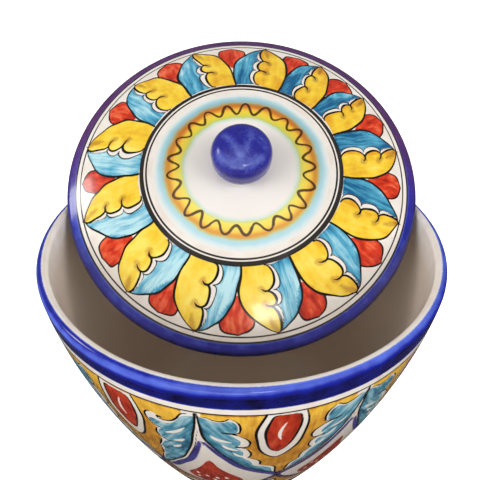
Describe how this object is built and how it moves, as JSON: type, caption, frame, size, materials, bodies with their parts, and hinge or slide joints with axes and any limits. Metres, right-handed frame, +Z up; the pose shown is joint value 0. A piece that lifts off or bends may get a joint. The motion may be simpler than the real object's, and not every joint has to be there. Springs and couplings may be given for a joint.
{
  "type": "cookie jar",
  "caption": "Round glazed earthenware jar tapering to a flat base, with a domed lid, locating ring and squat knob, the lid leaning open in the mouth.",
  "frame": {"origin": "centre of the jar's flat base", "axes": "+Z up along the jar's axis, -Y towards the front that the picture shows, +X to the right"},
  "size_m": [0.198, 0.2089, 0.2136],
  "materials": {
    "jar_glaze": "glossy tin glaze painted with ochre ground, leaves and blue rim",
    "lid_glaze": "glossy tin glaze painted with petals and rings",
    "white_glaze": "plain warm white tin glaze",
    "cobalt_glaze": "mottled glossy cobalt glaze"
  },
  "bodies": {
    "jar": {"jar_body": "jar_glaze"},
    "lid": {"lid_cover": "lid_glaze", "lid_flange": "white_glaze", "lid_knob": "cobalt_glaze"}
  },
  "joints": [
    {"name": "lid_lift", "type": "slide", "parent": "jar", "child": "lid", "axis": [0, 0, 1], "range_m": [0, 0.12]}
  ]
}
